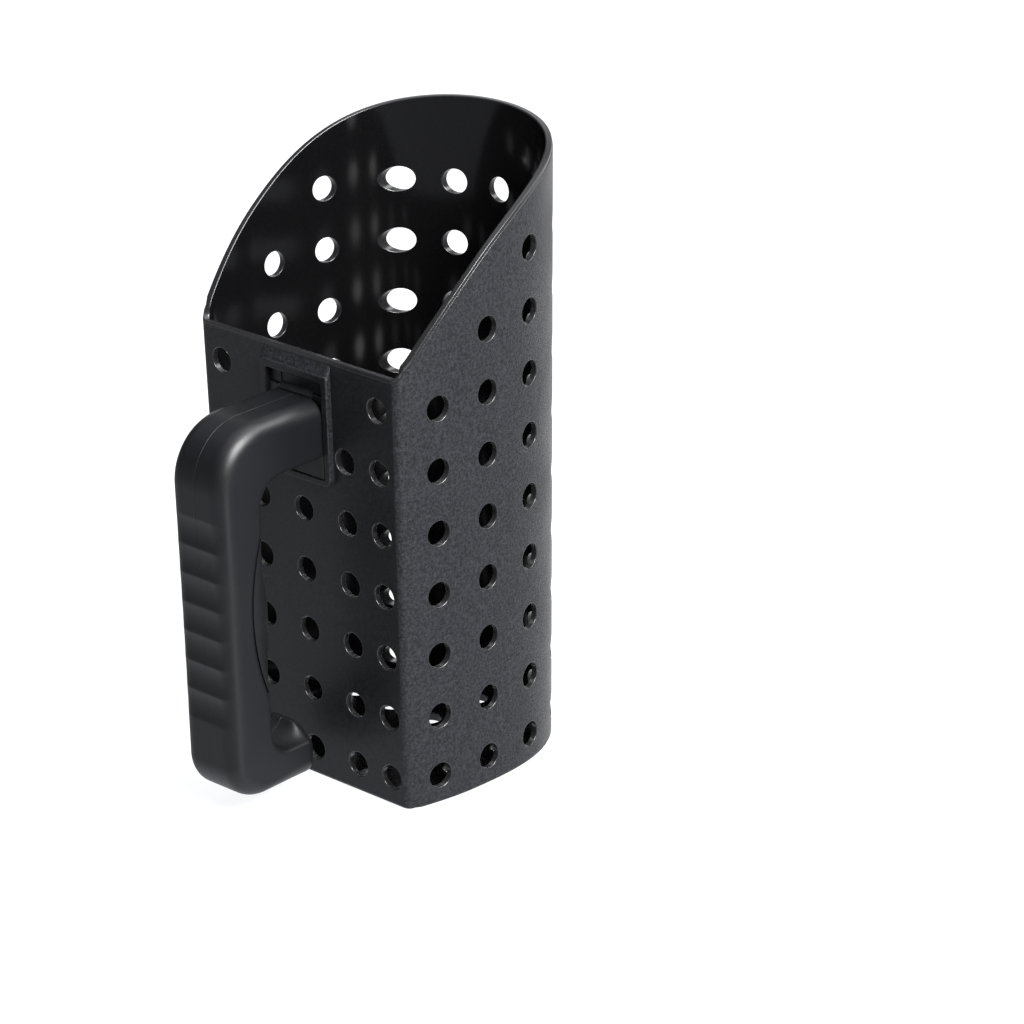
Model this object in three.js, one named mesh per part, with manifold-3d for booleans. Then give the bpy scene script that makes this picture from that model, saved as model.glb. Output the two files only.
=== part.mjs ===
// Beach sand scoop: a perforated D-section bucket with a slanted mouth, and an open C-shaped handle
// that hooks into a pocket on the flat back wall and is held there by a sprung latch tongue.
//
// Millimetres, +Z up. The origin is on the underside of the base, between its two middle rows of
// holes. The flat back wall, which carries the handle, faces -Y, and the rounded front faces +Y.
// The handle and its pocket are drawn in the back wall's own frame: y = 0 on the wall's outer face,
// -y away from the bucket, z up along the wall from the base.

import * as THREE from 'three';
import { mergeVertices } from 'three/addons/utils/BufferGeometryUtils.js';
import Module from 'manifold-3d';

const wasm = await Module();
wasm.setup();

// ---------------------------------------------------------------- driving dimensions

const gap = 0.3; // clearance between touching pieces

// sieve holes
const pitch = 22; // from one row of holes to the next
const holeRadius = 4.4;
const holeSides = 10;
const firstRow = 10.2; // height of the lowest row
const frontLift = 0.6; // how much higher the rows stand in the front

// bucket
const wall = 2.2;
const floor = 2.8;
const backY = -42.8; // outer face of the back wall, at the base
const frontY = 51.2; // outer face of the front, at the base
const widestY = -14.5; // where the side walls are furthest apart
const halfWidth = 49; // at the widest place, at the base
const cornerHalfWidth = 45; // at the back corners, at the base
const cornerRadius = 3.3;
const sideDraft = 0.0174; // outward growth per millimetre of height
const frontDraft = 0.0125;
const backDraft = 0.0201;
const backHeight = 154.8; // rim height at the back wall
const frontHeight = 217.9; // rim height at the front
const rimSlopeAtFront = 0.2;
const rimBend = 2.5; // how quickly the rim levels off towards the front

// pocket for the handle's root, on the back wall
const padHalfWidth = 15.8;
const padBottom = 110;
const padTop = 149.3;
const padLeadIn = 3.5; // height of the sloped face that runs from the pad up to the wall
const padThickness = 2.2;
const padCornerRadius = 3;
const pocketHalfWidth = 13.2;
const pocketBottom = 112.3;
const pocketTop = 146.6;
const pocketDepthInWall = 0.3;
const windowBottom = 138.2; // the wall behind the latch is cut right through above this height
const notchBottom = 134.6; // the hooks pass through the wall between these heights
const notchTop = 140.3;

// handle
const spineY = -48.1; // outermost face
const gripInnerY = -30.6; // finger side
const handleHalfWidth = 12.9;
const armTop = 140;
const armBottom = 120.3;
const armCornerRadius = 20.5;
const armInnerRadius = 10;
const toeBottom = 8.5;
const toeEndY = -11.6;
const toeValley = 21.5;
const toeCrest = 26.8;
const toeCornerRadius = 13;
const toeInnerRadius = 8;
const toeEndRadius = 4.2;
const toeCrestRadius = 4.5;
const edgeRadius = 3.5;
const hollowEdgeRadius = 1.5;
const shellWall = 2.8;

// finger pad, a lens let into the finger side of the grip
const fingerPadBottom = 43;
const fingerPadTop = 102.6;
const fingerPadSink = 5.8; // how far its seat is cut into the grip
const fingerPadSwell = 7.5; // how far it stands out towards the fingers

// screws that join the two handle shells, put in from the left
const screwPlaces = [[-14, 130], [-42, 73], [-36.5, 19]];
const shankRadius = 1.5;
const headRadius = 2.9;
const headHeight = 2;
const headDepth = 1.4; // how far the head lies below the shell's face
const bossRadius = 4.6;
const shankEnd = 7;

// root flange and hooks of the handle, and the latch tongue
const flangeTop = 138.6;
const rootOverlap = 1.5; // how far the flange reaches out into the arm
const wedgeSlope = 0.25; // the flange's ramp, which pushes the latch in as the handle rises
const wedgeStart = -2;
const cheekInner = 8;
const cheekTop = 140.2; // thin cheeks beside the latch close the notches up to here
const cheekThickness = 0.8;
const hookBottom = 132.3;
const hookTop = 137.4;
const hookInner = 8.2;
const hookOuter = 12.8;
const neckInner = 9.4;
const neckOuter = 11.6;
const hookFront = wall + 0.5; // just behind the wall's inner face
const hookBack = hookFront + 1.9;
const latchHalfWidth = 7.5;
const latchThickness = 2;
const latchLip = 2; // how far the lip stands out in front of the tongue
const latchLipHeight = 1.7;

// ---------------------------------------------------------------- solids from three.js geometry

// A closed geometry as a manifold solid.
function solid(geometry) {
  const bare = geometry.clone();
  bare.deleteAttribute('normal');
  bare.deleteAttribute('uv');
  const merged = mergeVertices(bare, 1e-4);
  return new wasm.Manifold(new wasm.Mesh({
    numProp: 3,
    vertProperties: new Float32Array(merged.attributes.position.array),
    triVerts: new Uint32Array(merged.index.array),
  }));
}

// A named mesh from a manifold solid or a closed geometry.
function piece(name, shape, material) {
  let geometry = shape;
  if (!shape.isBufferGeometry) {
    const mesh = shape.getMesh();
    geometry = new THREE.BufferGeometry();
    geometry.setAttribute('position', new THREE.BufferAttribute(mesh.vertProperties, 3));
    geometry.setIndex(new THREE.BufferAttribute(mesh.triVerts, 1));
    geometry.computeVertexNormals();
  }
  const result = new THREE.Mesh(geometry, material);
  result.name = name;
  return result;
}

// A box between two corners.
function box(low, high) {
  const size = high.map((value, axis) => value - low[axis]);
  const centre = high.map((value, axis) => (value + low[axis]) / 2);
  return new THREE.BoxGeometry(...size).translate(...centre);
}

// A cylinder along X or Y, from one end to the other, with its axis through a point of the plane
// square to it.
function rod(axis, radius, from, to, [u, height], sides = holeSides) {
  const geometry = new THREE.CylinderGeometry(radius, radius, to - from, sides);
  const middle = (from + to) / 2;
  if (axis === 'x') {
    return geometry.rotateZ(-Math.PI / 2).translate(middle, u, height);
  }
  return geometry.translate(u, middle, height);
}

// An extrusion of a (y, z) outline along X, centred on X = 0.
function extrudeAlongX(shape, width, options = {}) {
  const geometry = new THREE.ExtrudeGeometry(shape, {
    depth: width,
    bevelEnabled: false,
    curveSegments: 6,
    ...options,
  });
  const turn = new THREE.Matrix4().makeBasis(
    new THREE.Vector3(0, 1, 0),
    new THREE.Vector3(0, 0, 1),
    new THREE.Vector3(1, 0, 0),
  );
  return geometry.translate(0, 0, -width / 2).applyMatrix4(turn);
}

// A closed skin over rings of points that all have the same count, in order along their stack.
function loft(rings) {
  const count = rings[0].length;
  const positions = rings.flat().flatMap((point) => point.toArray());
  const index = [];
  for (let ring = 0; ring + 1 < rings.length; ring += 1) {
    for (let side = 0; side < count; side += 1) {
      const next = (side + 1) % count;
      const a = ring * count + side;
      const b = ring * count + next;
      index.push(a, b, b + count, a, b + count, a + count);
    }
  }
  const last = (rings.length - 1) * count;
  for (let side = 1; side + 1 < count; side += 1) {
    index.push(0, side + 1, side, last, last + side, last + side + 1);
  }
  const geometry = new THREE.BufferGeometry();
  geometry.setAttribute('position', new THREE.Float32BufferAttribute(positions, 3));
  geometry.setIndex(index);
  return geometry;
}

// The back wall's own frame, in the frame of the part.
const wallFrame = new THREE.Matrix4()
  .makeTranslation(0, backY, 0)
  .multiply(new THREE.Matrix4().makeRotationX(Math.atan(backDraft)));

// Moves a geometry drawn in the back wall's frame into the frame of the part.
function onWall(geometry) {
  return geometry.applyMatrix4(wallFrame);
}

// ---------------------------------------------------------------- bucket

// One half of the outline at the base, from the back wall's middle round to the front's middle,
// moved inwards by an inset. A flat back, a small corner, a slightly bulging side, a blunt front.
function halfOutline(inset) {
  const back = backY + inset;
  const corner = cornerHalfWidth - inset;
  const widest = halfWidth - inset;
  const radius = Math.max(cornerRadius - inset, 0.7);
  const points = [new THREE.Vector2(0, back)];
  const cornerSteps = 4;
  for (let step = 0; step <= cornerSteps; step += 1) {
    const angle = (step / cornerSteps) * (Math.PI / 2);
    points.push(new THREE.Vector2(
      corner - radius + radius * Math.sin(angle),
      back + radius - radius * Math.cos(angle),
    ));
  }
  const sideSteps = 3;
  for (let step = 1; step <= sideSteps; step += 1) {
    const y = THREE.MathUtils.lerp(back + radius, widestY, step / sideSteps);
    const fromWidest = (widestY - y) / (widestY - back);
    points.push(new THREE.Vector2(widest - (widest - corner) * fromWidest ** 1.8, y));
  }
  const frontSteps = 15;
  for (let step = 1; step <= frontSteps; step += 1) {
    const angle = (step / frontSteps) * (Math.PI / 2);
    points.push(new THREE.Vector2(
      step === frontSteps ? 0 : widest * Math.cos(angle),
      widestY + (frontY - inset - widestY) * Math.sin(angle) ** 0.69,
    ));
  }
  return points;
}

// The whole outline, anticlockwise.
function outline(inset) {
  const right = halfOutline(inset);
  const left = right.slice(1, -1).reverse().map((point) => new THREE.Vector2(-point.x, point.y));
  return new THREE.Shape([...right, ...left]);
}

// Spreads an upright extrusion as it rises, by the moulding draft of each wall.
function addDraft(geometry) {
  const position = geometry.attributes.position;
  const spread = (frontDraft + backDraft) / (frontY - backY);
  for (let i = 0; i < position.count; i += 1) {
    const y = position.getY(i);
    const z = position.getZ(i);
    position.setX(i, position.getX(i) * (1 + (sideDraft * z) / halfWidth));
    position.setY(i, y + z * (spread * (y - backY) - backDraft));
  }
  return geometry;
}

// An upright prism of the outline between two heights, with draft.
function prism(inset, bottom, top) {
  const geometry = new THREE.ExtrudeGeometry(outline(inset), {
    depth: top - bottom,
    bevelEnabled: false,
  });
  return addDraft(geometry.translate(0, 0, bottom));
}

// Height of the rim above the base, at a distance y in front of or behind the origin.
function rimHeight(y) {
  const back = backY - backDraft * backHeight;
  const length = frontY + frontDraft * frontHeight - back;
  const along = THREE.MathUtils.clamp((y - back) / length, 0, 1);
  const rise = frontHeight - backHeight - rimSlopeAtFront * length;
  return backHeight + rimSlopeAtFront * along * length + rise * (1 - (1 - along) ** rimBend);
}

// Everything above the rim.
function aboveRim() {
  const reach = 70;
  const high = frontHeight + 30;
  const points = [new THREE.Vector2(-reach, high), new THREE.Vector2(-reach, rimHeight(-reach))];
  const steps = 14;
  for (let step = 0; step <= steps; step += 1) {
    const y = THREE.MathUtils.lerp(backY - 4, frontY + 4, step / steps);
    points.push(new THREE.Vector2(y, rimHeight(y)));
  }
  points.push(new THREE.Vector2(reach, rimHeight(reach)), new THREE.Vector2(reach, high));
  return extrudeAlongX(new THREE.Shape(points), 4 * halfWidth);
}

// Height of a row of holes, the lowest being row 1.
const row = (number) => firstRow + pitch * (number - 1);

// All the sieve holes as cylinders, along the directions in which the mould's pins draw: Y through
// the back wall and the whole rounded front, X through the two sides, and Z through the base.
function sieveHoles() {
  const beyond = halfWidth + 20;
  const holes = [];
  const backColumns = [
    { x: 0, rows: [1, 2, 3, 4, 5] },
    { x: 20.9, rows: [1, 2, 3, 4, 5, 6] },
    { x: 37, rows: [1, 2, 3, 4, 5, 6, 7] },
  ];
  for (const { x, rows } of backColumns) {
    for (const side of x === 0 ? [1] : [-1, 1]) {
      for (const number of rows) {
        holes.push(rod('y', holeRadius, backY - 10, backY + 10, [side * x, row(number)]));
      }
    }
  }
  const sideColumns = [
    { y: -30.4, count: 7 },
    { y: -8.5, count: 8 },
    { y: 13.9, count: 9 },
  ];
  for (const { y, count } of sideColumns) {
    for (let number = 1; number <= count; number += 1) {
      holes.push(rod('x', holeRadius, -beyond, beyond, [y, row(number)]));
    }
  }
  for (const x of [-34.9, -18.2, 0, 18.2, 34.9]) {
    for (let number = 1; number <= 9; number += 1) {
      holes.push(rod('y', holeRadius, frontY - 30, frontY + 12, [x, row(number) + frontLift]));
    }
  }
  const baseRows = [
    { y: -34.65, columns: [-36, -18, 0, 18, 36] },
    { y: -11.55, columns: [-36, -18, 0, 18, 36] },
    { y: 11.55, columns: [-36, -18, 0, 18, 36] },
    { y: 34.65, columns: [-18, 0, 18] },
  ];
  for (const { y, columns } of baseRows) {
    for (const x of columns) {
      const hole = new THREE.CylinderGeometry(holeRadius, holeRadius, 4 * floor, holeSides);
      holes.push(hole.rotateX(Math.PI / 2).translate(x, y, floor));
    }
  }
  return holes.map(solid);
}

// The raised pad that frames the pocket, in the back wall's frame.
function padSolid() {
  const inWall = 1;
  const face = new THREE.Shape();
  const top = padTop + padLeadIn;
  const low = padBottom + padCornerRadius;
  const inner = padHalfWidth - padCornerRadius;
  face.moveTo(-padHalfWidth, top);
  face.lineTo(-padHalfWidth, low);
  face.absarc(-inner, low, padCornerRadius, Math.PI, Math.PI * 1.5, false);
  face.absarc(inner, low, padCornerRadius, Math.PI * 1.5, Math.PI * 2, false);
  face.lineTo(padHalfWidth, top);
  face.closePath();
  const plate = new THREE.ExtrudeGeometry(face, {
    depth: padThickness + inWall,
    bevelEnabled: false,
    curveSegments: 4,
  });
  plate.rotateX(Math.PI / 2).translate(0, inWall, 0);
  const side = new THREE.Shape([
    new THREE.Vector2(2 * inWall, padBottom - 1),
    new THREE.Vector2(-padThickness - 1, padBottom - 1),
    new THREE.Vector2(-padThickness - 1, padTop),
    new THREE.Vector2(-padThickness, padTop),
    new THREE.Vector2(0, top),
    new THREE.Vector2(2 * inWall, top),
  ]);
  const trim = extrudeAlongX(side, 3 * padHalfWidth);
  return solid(onWall(plate)).intersect(solid(onWall(trim)));
}

// The pocket in the pad, the window behind the latch, and on either side of it the notch that lets a
// hook through and the slot in which the hook's neck slides down.
function pocketCutters() {
  const outside = -padThickness - 1;
  const inside = wall + 3;
  const windowEdge = latchHalfWidth + gap;
  const pocket = box(
    [-pocketHalfWidth, outside, pocketBottom],
    [pocketHalfWidth, pocketDepthInWall, pocketTop],
  );
  const opening = box([-windowEdge, outside, windowBottom], [windowEdge, inside, pocketTop]);
  const cutters = [pocket, opening];
  for (const side of [-1, 1]) {
    const across = (near, far) => [side * near, side * far].sort((a, b) => a - b);
    const [notchLow, notchHigh] = across(windowEdge - 0.1, hookOuter + gap);
    cutters.push(box([notchLow, outside, notchBottom], [notchHigh, inside, notchTop]));
    const [slotLow, slotHigh] = across(neckInner - gap, neckOuter + gap);
    cutters.push(box([slotLow, outside, hookBottom - 0.7], [slotHigh, inside, notchBottom + 1]));
  }
  return cutters.map((cutter) => solid(onWall(cutter)));
}

// One moulding: walls, perforated base, pad and pocket.
function bucket() {
  const tall = frontHeight + 10;
  let body = solid(prism(0, 0, tall)).subtract(solid(prism(wall, floor, tall + 5)));
  body = body.subtract(solid(aboveRim()));
  body = body.add(padSolid());
  for (const cutter of [...pocketCutters(), ...sieveHoles()]) {
    body = body.subtract(cutter);
  }
  return body;
}

// ---------------------------------------------------------------- handle

// Side view of the handle: arm, outer corner, grip, and a toe that turns back towards the bucket
// and ends short of it. An inset draws the outline of the hollow inside, whose toe has no crest.
function handleProfile(inset) {
  const shape = new THREE.Shape();
  const half = Math.PI / 2;
  const bottom = toeBottom + inset;
  const end = toeEndY - inset;
  const innerY = gripInnerY - inset;
  const corner = armCornerRadius - inset;
  const toeCorner = toeCornerRadius - inset;
  const toeEnd = Math.max(toeEndRadius - inset, 2);
  const valley = toeValley - inset;
  const armInner = armInnerRadius + inset;
  const armUnder = armBottom + inset;
  shape.moveTo(-padThickness - inset, armTop - inset);
  shape.lineTo(spineY + armCornerRadius, armTop - inset);
  shape.absarc(spineY + armCornerRadius, armTop - armCornerRadius, corner, half, 2 * half);
  shape.absarc(spineY + toeCornerRadius, toeBottom + toeCornerRadius, toeCorner, 2 * half, 3 * half);
  shape.absarc(end - toeEnd, bottom + toeEnd, toeEnd, 3 * half, 4 * half);
  if (inset > 0) {
    shape.lineTo(end, valley);
  } else {
    const crestY = end - toeCrestRadius;
    const valleyY = innerY + toeInnerRadius;
    shape.absarc(crestY, toeCrest - toeCrestRadius, toeCrestRadius, 0, half);
    shape.quadraticCurveTo(crestY - 3, toeCrest, valleyY + 2, valley + 1.4);
    shape.quadraticCurveTo(valleyY, valley, valleyY - 2, valley + 0.6);
  }
  shape.quadraticCurveTo(innerY, valley + 1, innerY, valley + toeInnerRadius + 2);
  shape.absarc(gripInnerY + armInnerRadius, armBottom - armInnerRadius, armInner, 2 * half, half, true);
  shape.lineTo(-padThickness - inset, armUnder);
  shape.closePath();
  return shape;
}

// The handle's outer form, or with an inset its hollow.
function handleForm(inset) {
  const rounding = inset > 0 ? hollowEdgeRadius : edgeRadius;
  const width = 2 * (handleHalfWidth - inset - rounding);
  return solid(extrudeAlongX(handleProfile(inset), width, {
    bevelEnabled: true,
    bevelThickness: rounding,
    bevelSize: rounding,
    bevelOffset: -rounding,
    bevelSegments: 2,
    curveSegments: 5,
  }));
}

// An arc through two heights on the grip's finger side, bulging by a depth (negative into the grip).
function fingerCurve(height, depth) {
  const middle = (fingerPadTop + fingerPadBottom) / 2;
  const along = (height - middle) / ((fingerPadTop - fingerPadBottom) / 2);
  return gripInnerY + depth * (1 - along ** 2);
}

// The seat for the finger pad, as a cutter.
function fingerSeat() {
  const steps = 10;
  const points = [];
  for (let step = 0; step <= steps; step += 1) {
    const height = THREE.MathUtils.lerp(fingerPadBottom, fingerPadTop, step / steps);
    points.push(new THREE.Vector2(fingerCurve(height, -fingerPadSink), height));
  }
  points.reverse();
  points.push(new THREE.Vector2(gripInnerY + 3, fingerPadBottom));
  points.push(new THREE.Vector2(gripInnerY + 3, fingerPadTop));
  return solid(extrudeAlongX(new THREE.Shape(points), 4 * handleHalfWidth));
}

// The lens-shaped finger pad: a flat-backed, round-nosed section that fades out at both ends.
function fingerPad() {
  const steps = 8;
  const noseSteps = 8;
  const margin = 2.5;
  const rings = [];
  for (let step = 0; step <= steps; step += 1) {
    const height = THREE.MathUtils.lerp(fingerPadBottom + margin, fingerPadTop - margin, step / steps);
    const back = fingerCurve(height, -fingerPadSink) + gap;
    const nose = fingerCurve(height, fingerPadSwell) - back;
    const ring = [];
    for (let side = 0; side <= noseSteps; side += 1) {
      const angle = (side / noseSteps) * Math.PI;
      ring.push(new THREE.Vector3(
        (handleHalfWidth - 0.4) * Math.cos(angle),
        back + nose * Math.sin(angle),
        height,
      ));
    }
    rings.push(ring);
  }
  return loft(rings);
}

// The root flange on one side: a plate in the pocket, level with the pad below the arm, with a ramp
// at the top that cams the latch in, and a hook that reaches through the wall and grips behind it.
function rootHook(side) {
  const across = (near, far) => [side * near, side * far].sort((a, b) => a - b);
  const [flangeLow, flangeHigh] = across(gap / 2, handleHalfWidth);
  const [neckLow, neckHigh] = across(neckInner, neckOuter);
  const [hookLow, hookHigh] = across(hookInner, hookOuter);
  const flange = box([flangeLow, -padThickness - rootOverlap, armBottom], [flangeHigh, 0, flangeTop]);
  const apron = box(
    [flangeLow, -padThickness, pocketBottom + gap],
    [flangeHigh, 0, armBottom + rootOverlap],
  );
  const rampLength = -wedgeStart / wedgeSlope;
  const ramp = extrudeAlongX(new THREE.Shape([
    new THREE.Vector2(0.5, flangeTop + 1),
    new THREE.Vector2(wedgeStart - wedgeSlope, flangeTop + 1),
    new THREE.Vector2(0.25 * wedgeSlope, flangeTop - rampLength - 0.25),
    new THREE.Vector2(0.5, flangeTop - rampLength - 0.25),
  ]), 2 * (latchHalfWidth + 0.4));
  const neck = box([neckLow, -1, hookBottom], [neckHigh, hookFront + 0.5, hookTop]);
  const hook = box([hookLow, hookFront, hookBottom], [hookHigh, hookBack, hookTop]);
  const [cheekLow, cheekHigh] = across(cheekInner, handleHalfWidth);
  const cheek = box([cheekLow, -cheekThickness, armBottom], [cheekHigh, 0, cheekTop]);
  const plate = solid(flange).add(solid(apron)).subtract(solid(ramp));
  return plate.add(solid(cheek)).add(solid(neck)).add(solid(hook));
}

// One of the two hollow shells that meet on the handle's centre line, side +1 right and -1 left.
// The left one takes the screw heads, and the right one the threads.
function handleShell(side) {
  const far = 40;
  const half = side > 0
    ? box([gap / 2, -60, 0], [far, 10, 160])
    : box([-far, -60, 0], [-gap / 2, 10, 160]);
  const keep = solid(half);
  let shell = handleForm(0).subtract(handleForm(shellWall));
  for (const place of screwPlaces) {
    const boss = solid(rod('x', bossRadius, -far, far, place, 12)).intersect(handleForm(0));
    shell = shell.add(boss);
  }
  shell = shell.subtract(fingerSeat()).add(seatSkin()).intersect(keep);
  shell = shell.add(rootHook(side));
  const faceX = -handleHalfWidth;
  for (const place of screwPlaces) {
    shell = shell.subtract(solid(rod('x', shankRadius + gap, -far, shankEnd + gap, place)));
    const headRoom = rod('x', headRadius + gap, -far, faceX + headDepth + headHeight + gap, place, 12);
    shell = shell.subtract(solid(headRoom));
  }
  return shell;
}

// The skin behind the finger pad, which closes the hollow where the seat is cut.
function seatSkin() {
  const steps = 10;
  const outer = [];
  const inner = [];
  for (let step = 0; step <= steps; step += 1) {
    const height = THREE.MathUtils.lerp(fingerPadBottom, fingerPadTop, step / steps);
    const y = fingerCurve(height, -fingerPadSink);
    outer.push(new THREE.Vector2(y, height));
    inner.push(new THREE.Vector2(y - shellWall, height));
  }
  const skin = extrudeAlongX(new THREE.Shape([...inner, ...outer.reverse()]), 2 * handleHalfWidth - 2);
  return solid(skin).intersect(handleForm(0));
}

// A pan-head self-tapping screw along X, its head at the left face of the handle.
function shellScrew([y, z]) {
  const headFace = -handleHalfWidth + headDepth;
  const profile = [
    new THREE.Vector2(0, headFace),
    new THREE.Vector2(headRadius - 0.7, headFace),
    new THREE.Vector2(headRadius, headFace + 0.7),
    new THREE.Vector2(headRadius, headFace + headHeight),
    new THREE.Vector2(shankRadius, headFace + headHeight),
    new THREE.Vector2(shankRadius, shankEnd - 1.5),
    new THREE.Vector2(0, shankEnd),
  ];
  const geometry = new THREE.LatheGeometry(profile, 10).rotateZ(-Math.PI / 2);
  return solid(geometry.translate(0, y, z));
}

// ---------------------------------------------------------------- latch

// The tongue between the two notches: it hangs from the top of the window, and its lip stands in
// front of the wall, just above the flange's top edge.
function latchTongue() {
  const front = pocketDepthInWall;
  const bottom = flangeTop + gap;
  const top = pocketTop - gap;
  const lipFace = front - latchLip;
  const shape = new THREE.Shape([
    new THREE.Vector2(lipFace, bottom),
    new THREE.Vector2(front + latchThickness, bottom),
    new THREE.Vector2(front + latchThickness, top),
    new THREE.Vector2(front, top),
    new THREE.Vector2(front, bottom + 2 * latchLipHeight),
    new THREE.Vector2(lipFace, bottom + latchLipHeight),
  ]);
  return solid(extrudeAlongX(shape, 2 * latchHalfWidth));
}

// ---------------------------------------------------------------- assembly

const blackGrain = new THREE.MeshStandardMaterial({ color: 0x1b1c1f, roughness: 0.55, metalness: 0 });
const blackSatin = new THREE.MeshStandardMaterial({ color: 0x222328, roughness: 0.42, metalness: 0 });
const blackSoft = new THREE.MeshStandardMaterial({ color: 0x1f2024, roughness: 0.5, metalness: 0 });
const zincSteel = new THREE.MeshStandardMaterial({ color: 0x8d9095, roughness: 0.35, metalness: 1 });

const scoop = new THREE.Group();
scoop.add(piece('bucket', bucket(), blackGrain));

const onBackWall = new THREE.Group();
onBackWall.position.set(0, backY, 0);
onBackWall.rotation.x = Math.atan(backDraft);
onBackWall.add(piece('latch_tongue', latchTongue(), blackGrain));
onBackWall.add(piece('handle_right_shell', handleShell(1), blackSatin));
onBackWall.add(piece('handle_left_shell', handleShell(-1), blackSatin));
onBackWall.add(piece('finger_pad', fingerPad(), blackSoft));
['root', 'grip', 'toe'].forEach((place, index) => {
  onBackWall.add(piece(`handle_screw_${place}`, shellScrew(screwPlaces[index]), zincSteel));
});
scoop.add(onBackWall);

export default scoop;
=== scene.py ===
import math

import bpy
import numpy as np
from mathutils import Matrix, Vector
from mathutils.geometry import delaunay_2d_cdt


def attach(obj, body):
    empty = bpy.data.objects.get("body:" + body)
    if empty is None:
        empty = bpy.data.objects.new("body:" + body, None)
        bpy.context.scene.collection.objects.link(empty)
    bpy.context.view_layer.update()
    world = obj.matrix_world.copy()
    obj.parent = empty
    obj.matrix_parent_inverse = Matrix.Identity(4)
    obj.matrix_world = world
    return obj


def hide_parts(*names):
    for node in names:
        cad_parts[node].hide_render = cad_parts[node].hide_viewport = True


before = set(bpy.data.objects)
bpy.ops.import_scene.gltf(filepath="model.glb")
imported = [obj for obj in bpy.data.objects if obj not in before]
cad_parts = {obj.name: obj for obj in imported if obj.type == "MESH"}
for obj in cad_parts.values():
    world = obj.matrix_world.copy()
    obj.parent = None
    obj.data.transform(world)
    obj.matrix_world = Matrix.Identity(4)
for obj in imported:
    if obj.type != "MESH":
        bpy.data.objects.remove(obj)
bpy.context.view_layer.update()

# Lengths are in millimetres until a mesh is made, as on the part's drawing: +Z up, the flat back
# wall with the handle faces -Y, and the rounded front faces +Y.
MM = 0.001

# ---------------------------------------------------------------- driving dimensions

HOLE_RADIUS = 4.4
HOLE_STEPS = 40
HOLE_EDGE = 0.4  # rounding of a hole's edge on the outside
HOLE_EDGE_INSIDE = 0.25
PITCH = 22.0
FIRST_ROW = 10.2
FRONT_LIFT = 0.6  # how much higher the rows stand in the front

WALL = 2.2
FLOOR = 2.8
BACK_Y = -42.8
FRONT_Y = 51.2
WIDEST_Y = -14.5
HALF_WIDTH = 49.0
CORNER_HALF_WIDTH = 45.0
CORNER_RADIUS = 3.3
SIDE_DRAFT = 0.0174
FRONT_DRAFT = 0.0125
BACK_DRAFT = 0.0201
BACK_HEIGHT = 154.8
FRONT_HEIGHT = 217.9
RIM_SLOPE_AT_FRONT = 0.2
RIM_BEND = 2.5
SEAM_Y = -19.0  # where the skin of the walls is unrolled, between two columns of holes
LIP_DROP = 1.5  # height of the polished band under the rim
LIP_STEP = 0.22  # how far it stands back from the grained wall
FOOT_RADIUS = 1.3

PAD_HALF_WIDTH = 15.8
PAD_BOTTOM = 110.0
PAD_TOP = 149.3
PAD_LEAD_IN = 3.5
PAD_THICKNESS = 2.2
PAD_CORNER = 3.0
PAD_EDGE = 0.5
POCKET_HALF_WIDTH = 13.2
POCKET_BOTTOM = 112.3
POCKET_TOP = 146.6
WINDOW_HALF_WIDTH = 7.8
WINDOW_BOTTOM = 138.2
NOTCH_OUTER = 13.1
NOTCH_BOTTOM = 134.6
NOTCH_TOP = 140.3
SLOT_BOTTOM = 131.6
SLOT_INNER = 9.1
SLOT_OUTER = 11.9
ROOT_CLEARANCE = 0.3  # between the root's inner face and the wall
CHEEK_INNER = 8.0
CHEEK_TOP = 141.2  # the cheeks close the notches up to here
CHEEK_THICKNESS = 0.6
RAMP_TOP = 138.2
RAMP_LEAN = 1.65  # how far the ramp's inner face leans out at its top
HOOK_BOTTOM = 132.3
HOOK_TOP = 137.4

SPINE_Y = -48.1
GRIP_INNER_Y = -30.6
GRIP_HALF_WIDTH = 12.9
ARM_TOP = 140.0
ARM_BOTTOM = 120.3
ARM_CORNER = 20.5
ARM_INNER = 10.0
TOE_BOTTOM = 8.5
TOE_END_Y = -11.5
TOE_VALLEY = 21.5
TOE_CREST = 5.4  # height of the crest above the valley
TOE_CORNER = 13.0
TOE_INNER = 8.0
SPINE_EDGE = 6.0  # rounding between the spine and the sides
FINGER_EDGE = 1.2
SEAM_HALF_GAP = 0.03
SEAM_BEVEL = 0.2
RIB_FIRST = 109.85  # top of the highest scallop in the spine
RIB_PITCH = 10.45
RIB_COUNT = 7
RIB_DEPTH = 0.62
RIB_CREST_ROUNDING = 0.12

FINGER_PAD_BOTTOM = 43.0
FINGER_PAD_TOP = 102.6
FINGER_PAD_SINK = 5.8  # how deep its seat is
FINGER_PAD_SWELL = 7.5  # how far it stands out towards the fingers

SCREW_PLACES = ((-14.0, 130.0), (-42.0, 73.0), (-36.5, 19.0))
SCREW_RECESS = 3.2
HEAD_RADIUS = 2.9
HEAD_DEPTH = 1.4
HEAD_HEIGHT = 2.0
SHANK_RADIUS = 1.5
THREAD_DEPTH = 0.3
SHANK_END = 7.0

# ---------------------------------------------------------------- meshes with their own normals


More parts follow.
